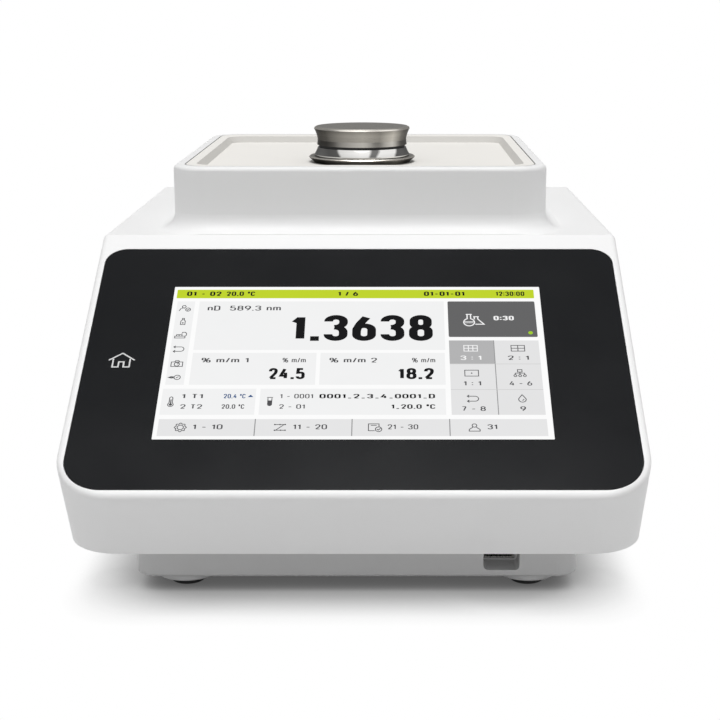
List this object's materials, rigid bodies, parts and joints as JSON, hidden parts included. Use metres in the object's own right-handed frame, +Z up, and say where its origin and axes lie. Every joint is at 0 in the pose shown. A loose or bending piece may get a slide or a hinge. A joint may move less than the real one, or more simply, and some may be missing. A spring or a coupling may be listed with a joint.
{
  "type": "benchtop refractometer",
  "caption": "Benchtop laboratory refractometer: wedge housing with a tilted touch display, a recessed steel sample dish under a lift-off lid on a raised tray, and a grey base on feet.",
  "frame": {"origin": "middle of the footprint on the bench surface, under the rubber feet", "axes": "+Z up, +X to the right of someone facing the display, +Y to the back of the instrument"},
  "size_m": [0.226, 0.3143, 0.1766],
  "materials": {
    "housing_white": "fine satin moulded white plastic",
    "plate_white": "warm off-white satin insert",
    "base_grey": "light grey painted base",
    "cover_glass": "black back-printed glass with a lit screen",
    "brushed_steel": "turned and brushed stainless steel",
    "polished_steel": "mirror-polished stainless steel",
    "black_rubber": "matt black rubber",
    "foot_grey": "grey moulded plastic",
    "black_plastic": "fine-grained black plastic",
    "panel_metal": "powder-coated light grey sheet",
    "bare_aluminium": "milled aluminium",
    "anodised_black": "black anodised aluminium",
    "zinc_steel": "zinc-plated steel",
    "circuit_green": "green solder mask",
    "chip_black": "moulded chip packages",
    "optical_glass": "polished optical glass",
    "ceramic_white": "white ceramic",
    "brass": "bare brass",
    "port_metal": "nickel-plated shell"
  },
  "bodies": {
    "instrument": {"upper_housing": "housing_white", "base_tray": "base_grey", "rear_panel": "panel_metal", "cover_glass": "cover_glass", "glass_gasket": "black_rubber", "lcd_panel": "optical_glass", "display_can": "zinc_steel", "display_bracket": "zinc_steel", "display_board": "circuit_green", "touch_key_board": "circuit_green", "sample_plate": "plate_white", "plate_seal": "black_rubber", "sample_dish": "brushed_steel", "measuring_prism": "optical_glass", "cell_block": "bare_aluminium", "light_barrel": "anodised_black", "camera_barrel": "anodised_black", "barrel_clamps": "bare_aluminium", "condenser_lens": "optical_glass", "objective_lens": "optical_glass", "light_board": "circuit_green", "camera_board": "circuit_green", "light_source": "optical_glass", "sensor_chip": "chip_black", "optics_bench": "bare_aluminium", "bench_posts": "brass", "peltier_module": "ceramic_white", "heat_sink": "anodised_black", "main_board": "circuit_green", "driver_board": "circuit_green", "usb_board": "circuit_green", "io_board": "circuit_green", "io_board_spacers": "brass", "board_standoffs": "brass", "board_components": "chip_black", "front_usb_port": "port_metal", "front_usb_tongue": "black_plastic", "power_supply": "zinc_steel", "power_inlet": "black_plastic", "inlet_pins": "brass", "switch_frame": "black_plastic", "ethernet_port": "port_metal", "rear_usb_port": "port_metal", "serial_port": "port_metal", "fan_frame": "black_plastic", "foot_front_left": "foot_grey", "foot_front_right": "foot_grey", "foot_rear_left": "foot_grey", "foot_rear_right": "foot_grey", "foot_pads": "black_rubber", "housing_screws": "zinc_steel", "rear_panel_screws": "zinc_steel"},
    "lid": {"lid_skirt": "polished_steel", "lid_ring": "black_rubber", "lid_cap": "brushed_steel", "lid_magnet": "zinc_steel", "lid_screw": "zinc_steel"},
    "fan": {"fan_rotor": "black_plastic"},
    "switch": {"switch_rocker": "black_plastic"}
  },
  "joints": [
    {"name": "lid_lift", "type": "slide", "parent": "instrument", "child": "lid", "axis": [0, 0, 1], "range_m": [0, 0.06]},
    {"name": "fan_spin", "type": "hinge", "parent": "instrument", "child": "fan", "pos_m": [0.02, 0.145, 0.091], "axis": [0, 1, 0], "continuous": true},
    {"name": "switch_rock", "type": "hinge", "parent": "instrument", "child": "switch", "pos_m": [-0.058, 0.151, 0.098], "axis": [1, 0, 0], "range_deg": [0, 12]}
  ]
}
